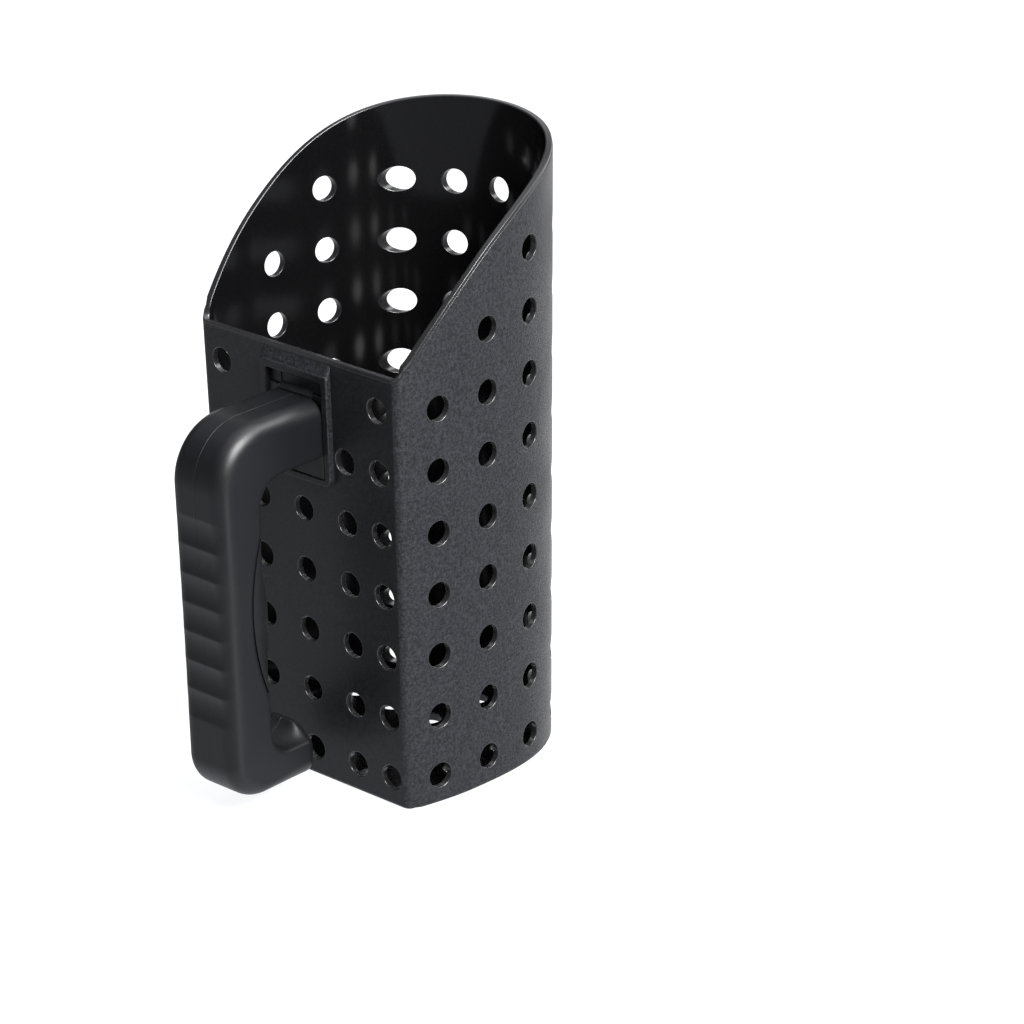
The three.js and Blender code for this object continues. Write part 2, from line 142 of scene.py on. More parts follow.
class Skin:
    """Faces with a normal for each corner, joined where their corners meet."""

    def __init__(self):
        self.points = []
        self.faces = []
        self.normals = []
        self.slots = []

    def add(self, points, normals, faces, slot=0):
        """Adds faces over points. A face is turned round if it looks against its normals."""
        points = np.asarray(points, float)
        normals = np.asarray(normals, float)
        start = sum(len(block) for block in self.points)
        self.points.append(points)
        for face in faces:
            corners = points[list(face)]
            across = np.zeros(3)
            for k in range(1, len(face) - 1):
                across += np.cross(corners[k] - corners[0], corners[k + 1] - corners[0])
            if np.linalg.norm(across) < 1e-9:
                continue
            wanted = normals[list(face)].sum(axis=0)
            ordered = list(face) if across @ wanted >= 0 else list(face)[::-1]
            self.faces.append([start + v for v in ordered])
            self.normals.append(normals[ordered])
            self.slots.append(slot)

    def add_smooth(self, points, faces, towards, slot=0):
        """Adds faces with normals averaged over them. Towards holds a rough direction per point."""
        points = np.asarray(points, float)
        towards = np.asarray(towards, float)
        _, first, same = np.unique(points.round(4), axis=0, return_index=True, return_inverse=True)
        same = same.reshape(-1)
        total = np.zeros((len(first), 3))
        for face in faces:
            corners = points[list(face)]
            across = np.zeros(3)
            for k in range(1, len(face) - 1):
                across += np.cross(corners[k] - corners[0], corners[k + 1] - corners[0])
            if across @ towards[list(face)].sum(axis=0) < 0:
                across = -across
            for v in face:
                total[same[v]] += across
        self.add(points, unit(total)[same], faces, slot)

    def build(self, name, materials, matrix=None):
        """The object, in metres, riding on nothing yet."""
        points = np.concatenate(self.points)
        keys, first, same = np.unique(points.round(3), axis=0, return_index=True, return_inverse=True)
        same = same.reshape(-1)
        merged = points[first]
        faces, normals, slots = [], [], []
        for face, normal, slot in zip(self.faces, self.normals, self.slots):
            corners = [int(same[v]) for v in face]
            keep = [k for k in range(len(corners)) if corners[k] != corners[k - 1]]
            if len(keep) < 3:
                continue
            faces.append([corners[k] for k in keep])
            normals.extend(normal[k] for k in keep)
            slots.append(slot)
        if matrix is not None:
            turn = np.array(matrix)
            merged = merged @ turn[:3, :3].T + turn[:3, 3]
            normals = list(np.array(normals) @ turn[:3, :3].T)
        mesh = bpy.data.meshes.new(name)
        mesh.from_pydata((merged * MM).tolist(), [], faces)
        for material in materials:
            mesh.materials.append(material)
        mesh.polygons.foreach_set("material_index", slots)
        mesh.polygons.foreach_set("use_smooth", [True] * len(faces))
        mesh.normals_split_custom_set(unit(np.array(normals)).tolist())
        mesh.update()
        piece = bpy.data.objects.new(name, mesh)
        bpy.context.scene.collection.objects.link(piece)
        return piece


def unit(vectors):
    """The same directions with length 1."""
    length = np.linalg.norm(vectors, axis=-1, keepdims=True)
    return vectors / np.maximum(length, 1e-12)


def bands(rings, closed=True):
    """Quads between neighbouring rings of points that are stored one ring after another."""
    count = len(rings[0])
    faces = []
    for ring in range(len(rings) - 1):
        for k in range(count if closed else count - 1):
            after = (k + 1) % count
            low = ring * count
            faces.append((low + k, low + after, low + count + after, low + count + k))
    return faces


def smoothstep(low, high, value):
    t = np.clip((value - low) / (high - low), 0.0, 1.0)
    return t * t * (3 - 2 * t)


# ---------------------------------------------------------------- the bucket's walls


def half_outline(inset):
    """One half of the outline at the base, from the back's middle to the front's middle."""
    back = BACK_Y + inset
    corner = CORNER_HALF_WIDTH - inset
    widest = HALF_WIDTH - inset
    radius = max(CORNER_RADIUS - inset, 0.7)
    x = list(np.linspace(0, corner - radius, 22)[:-1])
    y = [back] * len(x)
    for angle in np.linspace(0, math.pi / 2, 10):
        x.append(corner - radius + radius * math.sin(angle))
        y.append(back + radius - radius * math.cos(angle))
    for height in np.linspace(back + radius, WIDEST_Y, 15)[1:]:
        from_widest = (WIDEST_Y - height) / (WIDEST_Y - back)
        x.append(widest - (widest - corner) * from_widest**1.8)
        y.append(height)
    for angle in (math.pi / 2) * np.linspace(0, 1, 52)[1:] ** 1.25:
        x.append(widest * math.cos(angle))
        y.append(WIDEST_Y + (FRONT_Y - inset - WIDEST_Y) * math.sin(angle) ** 0.69)
    return np.array(x), np.array(y)


SPREAD = (FRONT_DRAFT + BACK_DRAFT) / (FRONT_Y - BACK_Y)


def draft(x, y, z):
    """Spreads points of the outline by the moulding draft at their height."""
    return x * (1 + SIDE_DRAFT * z / HALF_WIDTH), y + z * (SPREAD * (y - BACK_Y) - BACK_DRAFT)


def undraft(x, y, z):
    """The outline's own x and y of points at a height."""
    return x / (1 + SIDE_DRAFT * z / HALF_WIDTH), (y + z * (SPREAD * BACK_Y + BACK_DRAFT)) / (1 + z * SPREAD)


def rim_height(y):
    back = BACK_Y - BACK_DRAFT * BACK_HEIGHT
    length = FRONT_Y + FRONT_DRAFT * FRONT_HEIGHT - back
    along = np.clip((y - back) / length, 0, 1)
    rise = FRONT_HEIGHT - BACK_HEIGHT - RIM_SLOPE_AT_FRONT * length
    return BACK_HEIGHT + RIM_SLOPE_AT_FRONT * along * length + rise * (1 - (1 - along) ** RIM_BEND)


class Wall:
    """The walls' skin at one inset, unrolled into a distance round the outline and a height."""

    def __init__(self, inset):
        x, y = half_outline(inset)
        ring_x = np.concatenate([x, -x[-2:0:-1]])
        ring_y = np.concatenate([y, y[-2:0:-1]])
        start = int(np.argmin(np.where(ring_x > 0, abs(ring_y - SEAM_Y), 1e9)))
        self.x = np.append(np.roll(ring_x, -start), ring_x[start])
        self.y = np.append(np.roll(ring_y, -start), ring_y[start])
        step = np.hypot(np.diff(self.x), np.diff(self.y))
        self.s = np.append(0, np.cumsum(step))
        tangent = np.stack([np.diff(self.x), np.diff(self.y)], axis=1)
        tangent = np.vstack([tangent[-1:], tangent])[:-1] + tangent
        tangent = unit(np.vstack([tangent, tangent[:1]]))
        self.across = np.stack([tangent[:, 1], -tangent[:, 0]], axis=1)
        self.corner = inset

    def place(self, s, z):
        """Points on the skin."""
        x, y = draft(np.interp(s, self.s, self.x), np.interp(s, self.s, self.y), z)
        return np.stack([x, y, z + 0 * x], axis=-1)

    def normal(self, s):
        """Outward directions, all but level."""
        nx = np.interp(s, self.s, self.across[:, 0])
        ny = np.interp(s, self.s, self.across[:, 1])
        lean = np.where(ny < -0.7, -BACK_DRAFT, -SIDE_DRAFT)
        return unit(np.stack([nx, ny, lean], axis=-1))

    def rim(self, drop):
        """Height of the rim less a drop, at every point of the outline."""
        z = np.full(len(self.s), 180.0)
        for _ in range(12):
            _, y = draft(self.x, self.y, z)
            z = rim_height(y)
        return z - drop

    def find(self, axis, side, u, z):
        """Distances round the outline of the points that a line along an axis meets."""
        if axis == "x":
            _, wanted = undraft(0 * u, u, z)
            chosen = self.x * side > 3.0
            if side > 0:
                half = self.s[-1] / 2
                chosen &= (self.s < half) if wanted.mean() > SEAM_Y else (self.s > half)
            values = self.y[chosen]
        else:
            wanted, _ = undraft(u, 0 * u, z)
            chosen = (self.y * side > 0) & (abs(self.x) < CORNER_HALF_WIDTH - self.corner - 0.4)
            values = self.x[chosen]
        order = np.argsort(values)
        return np.interp(wanted, values[order], self.s[chosen][order])


def inside_loop(points, loop):
    """Which points lie inside a closed loop, by crossings."""
    result = np.zeros(len(points), bool)
    ahead = np.roll(loop, -1, axis=0)
    for (x0, y0), (x1, y1) in zip(loop, ahead):
        if y0 == y1:
            continue
        crosses = (y0 > points[:, 1]) != (y1 > points[:, 1])
        at = x0 + (points[:, 1] - y0) * (x1 - x0) / (y1 - y0)
        result ^= crosses & (points[:, 0] < at)
    return result


def fill(boundary, grid, loops):
    """Triangles over a flat region with a boundary, inner points and loops cut out of it."""
    room = 0.55
    for loop in loops:
        low, high = loop.min(axis=0) - room, loop.max(axis=0) + room
        near = np.all((grid > low) & (grid < high), axis=1)
        middle = loop.mean(axis=0)
        wide = middle + (loop - middle) * (1 + room / np.linalg.norm(loop - middle, axis=1).mean())
        hit = np.zeros(len(grid), bool)
        hit[near] = inside_loop(grid[near], wide)
        grid = grid[~hit]
    chains = [boundary, *loops]
    points = np.concatenate([*chains, grid])
    edges, start = [], 0
    for chain in chains:
        count = len(chain)
        edges += [(start + k, start + (k + 1) % count) for k in range(count)]
        start += count
    result = delaunay_2d_cdt([Vector(p) for p in points], edges, [], 0, 1e-6)
    places = np.array([tuple(p) for p in result[0]])
    triangles = np.array([face for face in result[2] if len(face) == 3])
    centres = places[triangles].mean(axis=1)
    keep = inside_loop(centres, boundary)
    for loop in loops:
        low, high = loop.min(axis=0), loop.max(axis=0)
        near = keep & np.all((centres > low) & (centres < high), axis=1)
        keep[near] &= ~inside_loop(centres[near], loop)
    return places, triangles[keep]


def sieve_holes():
    """Axis, side, place along the wall and height of every hole in the walls."""
    holes = []
    for x, rows in ((0.0, 5), (20.9, 6), (-20.9, 6), (37.0, 7), (-37.0, 7)):
        holes += [("y", -1, x, FIRST_ROW + PITCH * k) for k in range(rows)]
    for y, rows in ((-30.4, 7), (-8.5, 8), (13.9, 9)):
        for side in (1, -1):
            holes += [("x", side, y, FIRST_ROW + PITCH * k) for k in range(rows)]
    for x in (-34.9, -18.2, 0.0, 18.2, 34.9):
        holes += [("y", 1, x, FIRST_ROW + FRONT_LIFT + PITCH * k) for k in range(9)]
    return holes


def window_loop():
    """The window behind the latch with the two notches and slots for the hooks, as x and height."""
    right = [
        (WINDOW_HALF_WIDTH, POCKET_TOP),
        (WINDOW_HALF_WIDTH, NOTCH_TOP),
        (NOTCH_OUTER, NOTCH_TOP),
        (NOTCH_OUTER, NOTCH_BOTTOM),
        (SLOT_OUTER, NOTCH_BOTTOM),
        (SLOT_OUTER, SLOT_BOTTOM),
        (SLOT_INNER, SLOT_BOTTOM),
        (SLOT_INNER, NOTCH_BOTTOM),
        (WINDOW_HALF_WIDTH - 0.1, NOTCH_BOTTOM),
        (WINDOW_HALF_WIDTH - 0.1, WINDOW_BOTTOM),
    ]
    corners = right + [(-x, z) for x, z in right[::-1]]
    points = []
    for (x0, z0), (x1, z1) in zip(corners, corners[1:] + corners[:1]):
        steps = max(1, int(math.hypot(x1 - x0, z1 - z0) / 1.4))
        points += [(x0 + (x1 - x0) * k / steps, z0 + (z1 - z0) * k / steps) for k in range(steps)]
    return np.array(points)


# The EDGE slot holds a lighter black than the walls, which is painted sheen on the rim and the holes' edges.
# The GLOSS slot holds a real glossier finish with a darker black than the outside's, and that darker black
# is painted shade inside the bucket.
GRAIN, SATIN, GLOSS, EDGE = range(4)


def hole_rings(wall, hole, edge, outward):
    """Rings from a hole's rounded edge on one skin to its bore: points, normals, unrolled loop."""
    axis, side, u, z = hole
    angle = np.linspace(0, 2 * math.pi, HOLE_STEPS, endpoint=False)
    radial = np.stack([np.cos(angle), np.sin(angle)], axis=1)
    line = np.array([side, 0, 0.0]) if axis == "x" else np.array([0, side, 0.0])
    if axis == "x":
        spoke = np.stack([0 * angle, radial[:, 0], radial[:, 1]], axis=1)
    else:
        spoke = np.stack([radial[:, 0], 0 * angle, radial[:, 1]], axis=1)
    points, normals, loop = [], [], None
    for turn in np.linspace(0, math.pi / 2, 5):
        reach = HOLE_RADIUS + edge * (1 - math.sin(turn))
        depth = edge * (1 - math.cos(turn))
        along, height = u + reach * radial[:, 0], z + reach * radial[:, 1]
        s = wall.find(axis, side, along, height)
        if loop is None:
            loop = np.stack([s, height], axis=1)
        face = wall.normal(s) * outward
        slant = np.abs(face @ line)[:, None]
        points.append(wall.place(s, height) - outward * line * depth / np.maximum(slant, 0.35))
        normals.append(unit(math.cos(turn) * face - math.sin(turn) * spoke))
    return points, normals, loop


def wall_skin(skin, wall, outward, loops, bottom, top):
    """The outer or inner skin of the walls, with its holes."""
    columns = wall.s
    boundary = [(s, bottom) for s in columns]
    rise = np.arange(bottom + 3.0, top[0] - 1.5, 3.0)
    boundary += [(columns[-1], z) for z in rise]
    boundary += [(s, z) for s, z in zip(columns[::-1], top[::-1])]
    boundary += [(columns[0], z) for z in rise[::-1]]
    grid = [(s, z) for s, high in zip(columns[1:-1], top[1:-1])
            for z in np.arange(bottom + 3.0, high - 1.5, 3.0)]
    places, triangles = fill(np.array(boundary), np.array(grid), loops)
    points = wall.place(places[:, 0], places[:, 1])
    normals = wall.normal(places[:, 0]) * outward
    if outward < 0:
        # The inner skin takes the inside material, whose darker black is painted shade.
        skin.add(points, normals, triangles, GLOSS)
        return
    flat = np.abs(wall.normal(places[:, 0])[:, 1] + 1) < 0.02
    on_back = flat[triangles].all(axis=1) & (points[triangles][:, :, 1].mean(axis=1) < 0)
    skin.add(points, normals, triangles[~on_back], GRAIN)
    skin.add(points, normals, triangles[on_back], SATIN)


def ring_at(inset, z):
    """The whole outline at an inset and height, with its level outward directions."""
    wall = Wall(inset)
    points = wall.place(wall.s[:-1], z[:-1] if np.ndim(z) else np.full(len(wall.s) - 1, z))
    return points, wall.normal(wall.s[:-1])


def lip(skin, outer, inner):
    """The rim: a polished band that starts at a tiny step in the grained wall, and a flat top, in the edge
    material whose lighter colour is painted sheen.
    """
    step, top_radius, inner_radius = 0.16, 0.3, 0.45
    profile = []
    for turn in np.linspace(0, math.pi / 2, 4):
        profile.append((step * (1 - math.cos(turn)), LIP_DROP - step * math.sin(turn)))
    profile.append((LIP_STEP, LIP_DROP - step - 0.03))
    for turn in np.linspace(0, math.pi / 2, 6):
        profile.append((LIP_STEP + top_radius * (1 - math.cos(turn)), top_radius * (1 - math.sin(turn))))
    for turn in np.linspace(math.pi / 2, 0, 6):
        inset = WALL - inner_radius + inner_radius * math.cos(turn)
        profile.append((inset, inner_radius * (1 - math.sin(turn))))
    height = outer.rim(0.0)
    level = outer.normal(outer.s)[:-1]
    rings, towards = [], []
    for inset, drop in profile:
        shape = Wall(inset)
        rings.append(shape.place(shape.s, height - drop)[:-1])
        share = inset / WALL
        towards.append(level * (1 - 2 * share) + np.array([0, 0, 1.2]))
    for first, last in ((0, 4), (4, 11), (10, len(profile))):
        band = rings[first:last]
        skin.add_smooth(np.concatenate(band), bands(band), np.concatenate(towards[first:last]), EDGE)
    middle = [rings[3], rings[4]]
    skin.add_smooth(np.concatenate(middle), bands(middle), np.concatenate(towards[3:5]), EDGE)
    return height - LIP_DROP, height - inner_radius


def base_hole_places():
    places = [(x, y) for y in (-34.65, -11.55, 11.55) for x in (-36.0, -18.0, 0.0, 18.0, 36.0)]
    return places + [(x, 34.65) for x in (-18.0, 0.0, 18.0)]


def base(skin, outer, inner):
    """The base plate: rounded foot, underside, floor and its holes."""
    foot, foot_towards = [], []
    for turn in np.linspace(0, math.pi / 2, 6):
        inset = FOOT_RADIUS * (1 - math.cos(turn))
        points, level = ring_at(inset, FOOT_RADIUS * (1 - math.sin(turn)))
        foot.append(points)
        foot_towards.append(level + np.array([0, 0, -1.0]))
    skin.add_smooth(np.concatenate(foot), bands(foot), np.concatenate(foot_towards), GRAIN)
    cove, cove_towards = [], []
    radius = 1.0
    for turn in np.linspace(0, math.pi / 2, 5):
        inset = WALL + radius * (1 - math.cos(turn))
        points, level = ring_at(inset, FLOOR + radius * (1 - math.sin(turn)))
        cove.append(points)
        cove_towards.append(np.array([0, 0, 1.0]) - level)
    skin.add_smooth(np.concatenate(cove), bands(cove), np.concatenate(cove_towards), GLOSS)
    steps = np.arange(-51.0, 54.0, 3.2)
    grid = np.array([(x, y) for x in steps for y in steps])
    angle = np.linspace(0, 2 * math.pi, HOLE_STEPS, endpoint=False)
    spoke = np.stack([np.cos(angle), np.sin(angle), 0 * angle], axis=1)
    for edge_ring, height, up, slot in ((foot[-1], 0.0, -1, GRAIN), (cove[-1], FLOOR, 1, GLOSS)):
        edge = edge_ring[:, :2]
        inset_grid = grid[inside_loop(grid, edge * 0.985)]
        loops = []
        for x, y in base_hole_places():
            loops.append(np.array([x, y]) + (HOLE_RADIUS + HOLE_EDGE_INSIDE) * spoke[:, :2])
        places, triangles = fill(edge, inset_grid, loops)
        points = np.column_stack([places, np.full(len(places), height)])
        skin.add(points, np.tile([0.0, 0.0, up], (len(points), 1)), triangles, slot)
    for x, y in base_hole_places():
        points, normals = [], []
        for height, up in ((0.0, -1), (FLOOR, 1)):
            turns = np.linspace(0, math.pi / 2, 4)
            for turn in turns if up < 0 else turns[::-1]:
                reach = HOLE_RADIUS + HOLE_EDGE_INSIDE * (1 - math.sin(turn))
                depth = HOLE_EDGE_INSIDE * (1 - math.cos(turn))
                points.append(np.array([x, y, height - up * depth]) + reach * spoke)
                normals.append(unit(math.cos(turn) * np.array([0, 0, up]) - math.sin(turn) * spoke))
        # The base holes' edges take the edge material, whose lighter colour is painted sheen.
        skin.add(np.concatenate(points), np.concatenate(normals), bands(points), EDGE)


# The back wall's own frame: y = 0 on its outer face, -y away from the bucket, z up along the wall.
ON_WALL = Matrix.Translation((0, BACK_Y, 0)) @ Matrix.Rotation(math.atan(BACK_DRAFT), 4, "X")


def on_wall(points):
    turn = np.array(ON_WALL)
    return points @ turn[:3, :3].T + turn[:3, 3]


def pad_ring(inset, y, lift):
    """The pad's outline, square at the top and round at the bottom corners."""
    x, top, low = PAD_HALF_WIDTH - inset, PAD_TOP - inset + lift, PAD_BOTTOM + inset
    radius = PAD_CORNER - inset
    points = [(-x + 2 * x * k / 20, top) for k in range(20)]
    points += [(x, top + (low + radius - top) * k / 20) for k in range(20)]
    for turn in np.linspace(0, math.pi / 2, 8):
        points.append((x - radius + radius * math.cos(turn), low + radius - radius * math.sin(turn)))
    for turn in np.linspace(math.pi / 2, 0, 8):
        points.append((-x + radius - radius * math.cos(turn), low + radius - radius * math.sin(turn)))
    points += [(-x, low + radius + (top - low - radius) * k / 20) for k in range(1, 20)]
    return np.array([(px, y, pz) for px, pz in points])


def pocket_ring(inset, y):
    """The pocket's outline with barely rounded corners."""
    x, top, low = POCKET_HALF_WIDTH - inset, POCKET_TOP - inset, POCKET_BOTTOM + inset
    radius = 0.6
    points = []
    for cx, cz, start in ((x, top, 0), (-x, top, 1), (-x, low, 2), (x, low, 3)):
        mx, mz = cx - math.copysign(radius, cx), cz + (radius if cz == low else -radius)
        for turn in np.linspace(0, math.pi / 2, 4) + start * math.pi / 2:
            points.append((mx + radius * math.cos(turn), mz + radius * math.sin(turn)))
    return np.array([(px, y, pz) for px, pz in points])


def pad(skin):
    """The raised frame round the handle's pocket, let a little way into the wall."""
    out = np.array([0.0, -1.0, 0.0])
    middle = np.array([0, 0, (PAD_TOP + PAD_BOTTOM) / 2])
    sunk = 0.8
    rings = []
    for turn in np.linspace(0, math.pi / 2, 4):
        inset = PAD_EDGE * (1 - math.sin(turn))
        rings.append(pad_ring(inset, -PAD_THICKNESS + PAD_EDGE * (1 - math.cos(turn)), 0))
    rings.append(pad_ring(0, 0.0, PAD_LEAD_IN))
    rings.append(pad_ring(0, sunk, PAD_LEAD_IN))
    points = np.concatenate(rings)
    outwards = unit((points - middle) * np.array([1, 0, 1])) + 0.4 * out
    for low in range(len(rings) - 1):
        pair = np.concatenate(rings[low:low + 2])
        count = len(rings[low])
        skin.add_smooth(on_wall(pair), bands(rings[low:low + 2]),
                        outwards[low * count:(low + 2) * count], GRAIN)
    hollow = [pocket_ring(-0.3, -PAD_THICKNESS), pocket_ring(-0.08, -PAD_THICKNESS + 0.08),
              pocket_ring(0, -PAD_THICKNESS + 0.3), pocket_ring(0, sunk)]
    inwards = unit((middle - np.concatenate(hollow)) * np.array([1, 0, 1])) + 0.4 * out
    skin.add_smooth(on_wall(np.concatenate(hollow)), bands(hollow), inwards, SATIN)
    places, triangles = fill(rings[0][:, [0, 2]], np.zeros((0, 2)), [hollow[0][:, [0, 2]]])
    face = np.column_stack([places[:, 0], np.full(len(places), -PAD_THICKNESS), places[:, 1]])
    normal = np.array(ON_WALL.to_3x3() @ Vector(out))
    skin.add(on_wall(face), np.tile(normal, (len(face), 1)), triangles, SATIN)


def bucket(materials):
    """One moulding: walls with their holes, rim, base, and the pad round the pocket."""
    skin = Skin()
    outer, inner = Wall(0.0), Wall(WALL)
    outer_top, inner_top = lip(skin, outer, inner)
    outer_loops, inner_loops = [], []
    for hole in sieve_holes():
        out_points, out_normals, out_loop = hole_rings(outer, hole, HOLE_EDGE, 1)
        in_points, in_normals, in_loop = hole_rings(inner, hole, HOLE_EDGE_INSIDE, -1)
        outer_loops.append(out_loop)
        inner_loops.append(in_loop)
        rings = out_points + in_points[::-1]
        normals = out_normals + in_normals[::-1]
        # Hole edges and bores take the edge material, whose lighter colour is painted sheen.
        skin.add(np.concatenate(rings), np.concatenate(normals), bands(rings), EDGE)
    window = window_loop()
    window_rings = []
    for wall, loops in ((outer, outer_loops), (inner, inner_loops)):
        s = wall.find("y", -1, window[:, 0], window[:, 1])
        loops.append(np.stack([s, window[:, 1]], axis=1))
        window_rings.append(wall.place(s, window[:, 1]))
    for k in range(len(window)):
        after = (k + 1) % len(window)
        quad = [window_rings[0][k], window_rings[0][after], window_rings[1][after], window_rings[1][k]]
        along = window[after] - window[k]
        towards = np.array([along[1], 0, -along[0]])
        middle = (window[k] + window[after]) / 2 + np.array([along[1], -along[0]]) * 0.2
        if not inside_loop(middle[None], window)[0]:
            towards = -towards
        skin.add(quad, np.tile(unit(towards), (4, 1)), [(0, 1, 2, 3)], SATIN)
    wall_skin(skin, outer, 1, outer_loops, FOOT_RADIUS, outer_top)
    wall_skin(skin, inner, -1, inner_loops, FLOOR + 1.0, inner_top)
    base(skin, outer, inner)
    pad(skin)
    return skin.build("scoop_bucket", materials)


# ---------------------------------------------------------------- the handle


def finger_curve(height, depth):
    """The finger side's y at a height, bulging by a depth over the finger pad's length."""
    middle = (FINGER_PAD_TOP + FINGER_PAD_BOTTOM) / 2
    along = (height - middle) / ((FINGER_PAD_TOP - FINGER_PAD_BOTTOM) / 2)
    return GRIP_INNER_Y + depth * np.maximum(1 - along**2, 0)


def rib_depth(z):
    """How deep the spine is scooped out at a height, between ridges that stay at its level."""
    along = (RIB_FIRST - z) / RIB_PITCH
    if along < 0 or along > RIB_COUNT:
        return 0.0
    share = 4 * (along % 1.0) * (1 - along % 1.0)
    return RIB_DEPTH * (share - RIB_CREST_ROUNDING * (1 - share) ** 6 * share)


def handle_stations():
    """Spine point and finger-side point along the handle, from the wall to the toe's end."""
    stations = []
    for t in np.linspace(0, 1, 16)[:-1]:
        outer = (-1.9 + (SPINE_Y + ARM_CORNER + 1.9) * t, ARM_TOP)
        inner = (-1.9 + (GRIP_INNER_Y + ARM_INNER + 1.9) * t, ARM_BOTTOM)
        stations.append((outer, inner))
    for turn in np.linspace(math.pi / 2, math.pi, 32)[:-1]:
        c, s = math.cos(turn), math.sin(turn)
        outer = (SPINE_Y + ARM_CORNER + ARM_CORNER * c, ARM_TOP - ARM_CORNER + ARM_CORNER * s)
        inner = (GRIP_INNER_Y + ARM_INNER + ARM_INNER * c, ARM_BOTTOM - ARM_INNER + ARM_INNER * s)
        stations.append((outer, inner))
    for t in np.linspace(0, 1, 210)[:-1]:
        high = ARM_TOP - ARM_CORNER
        outer_z = high + (TOE_BOTTOM + TOE_CORNER - high) * t
        high = ARM_BOTTOM - ARM_INNER
        inner_z = high + (TOE_VALLEY + TOE_INNER - high) * t
        stations.append(((SPINE_Y, outer_z), (float(finger_curve(inner_z, -FINGER_PAD_SINK)), inner_z)))
    for turn in np.linspace(math.pi, 1.5 * math.pi, 26)[:-1]:
        c, s = math.cos(turn), math.sin(turn)
        outer = (SPINE_Y + TOE_CORNER + TOE_CORNER * c, TOE_BOTTOM + TOE_CORNER + TOE_CORNER * s)
        inner = (GRIP_INNER_Y + TOE_INNER + TOE_INNER * c, TOE_VALLEY + TOE_INNER + TOE_INNER * s)
        stations.append((outer, inner))
    end_radius = 3.2
    for t in np.linspace(0, 1, 30):
        outer = (SPINE_Y + TOE_CORNER + (TOE_END_Y - end_radius - SPINE_Y - TOE_CORNER) * t, TOE_BOTTOM)
        start = GRIP_INNER_Y + TOE_INNER
        inner = (start + (TOE_END_Y - end_radius - start) * t, TOE_VALLEY)
        stations.append((outer, inner))
    return stations, end_radius


def half_section(outer, inner, inset):
    """Half a cross-section from the seam on the spine round to the seam on the finger side, as
    (x, distance from the spine) pairs."""
    outer, inner = np.array(outer), np.array(inner)
    thick = np.linalg.norm(inner - outer)
    half = GRIP_HALF_WIDTH - inset
    edge = max(SPINE_EDGE - inset, 1.5)
    finger = FINGER_EDGE
    low, high = inset, thick - inset
    bevel = SEAM_BEVEL * (1 if outer[1] > RIB_FIRST else 0.15)
    points = [(SEAM_HALF_GAP * bevel / SEAM_BEVEL, low + bevel * 1.4), (bevel, low)]
    points += [(x, low) for x in np.linspace(bevel, half - edge, 16)[1:-1]]
    for turn in np.linspace(0, math.pi / 2, 14):
        points.append((half - edge + edge * math.sin(turn), low + edge - edge * math.cos(turn)))
    points += [(half, w) for w in np.linspace(low + edge, high - finger, 12)[1:-1]]
    for turn in np.linspace(0, math.pi / 2, 6):
        points.append((half - finger + finger * math.cos(turn), high - finger + finger * math.sin(turn)))
    bevel = SEAM_BEVEL * (1 if inner[1] > RIB_FIRST else 0.15)
    points += [(x, high) for x in np.linspace(half - finger, SEAM_BEVEL, 16)[1:-1]]
    points += [(bevel, high), (SEAM_HALF_GAP * bevel / SEAM_BEVEL, high - bevel * 1.4)]
    return np.array(points), thick


def place_section(outer, inner, section, thick, side, shift=0.0):
    """A half section in the wall's frame, with the ribs on its spine and the toe's crest."""
    outer, inner = np.array(outer), np.array(inner)
    along = (inner - outer) / thick
    x, w = section[:, 0], section[:, 1].copy()
    on_spine = smoothstep(0.45 * thick, 0.0, w)
    fade = 1 - smoothstep(6.2, 12.4, x)
    if abs(outer[0] - SPINE_Y) < 0.01:
        w = w + rib_depth(outer[1]) * fade * (on_spine > 0.5)
    if inner[1] < TOE_VALLEY + 0.01:
        rise = smoothstep(GRIP_INNER_Y + TOE_INNER - 3.0, TOE_END_Y - 3.0, inner[0] + shift)
        w = w + TOE_CREST * rise * (1 - smoothstep(4.0, 12.9, x)) * smoothstep(0.3 * thick, thick, w)
    y = outer[0] + along[0] * w + shift
    z = outer[1] + along[1] * w
    return np.stack([side * x, y, z], axis=1)


def handle_shell(side, material):
    """One half of the handle, with its half of the root flange and a hook."""
    stations, end_radius = handle_stations()
    rings = []
    for outer, inner in stations:
        section, thick = half_section(outer, inner, 0.0)
        rings.append(place_section(outer, inner, section, thick, side))
    outer, inner = stations[-1]
    for turn in np.linspace(0, math.pi / 2, 10)[1:]:
        section, thick = half_section(outer, inner, end_radius * (1 - math.cos(turn)))
        rings.append(place_section(outer, inner, section, thick, side, end_radius * math.sin(turn)))
    name = "handle_shell_right" if side > 0 else "handle_shell_left"
    count = len(rings[0])
    faces = bands(rings)
    faces.append(tuple(range(count))[::-1])
    faces.append(tuple(range((len(rings) - 1) * count, len(rings) * count)))
    points = np.concatenate(rings)
    if side < 0:
        faces = [face[::-1] for face in faces]
    shell = mesh_object(name, points, faces, material)
    for low, high, lean in root_blocks(side):
        join_block(shell, low, high, lean)
    return shell


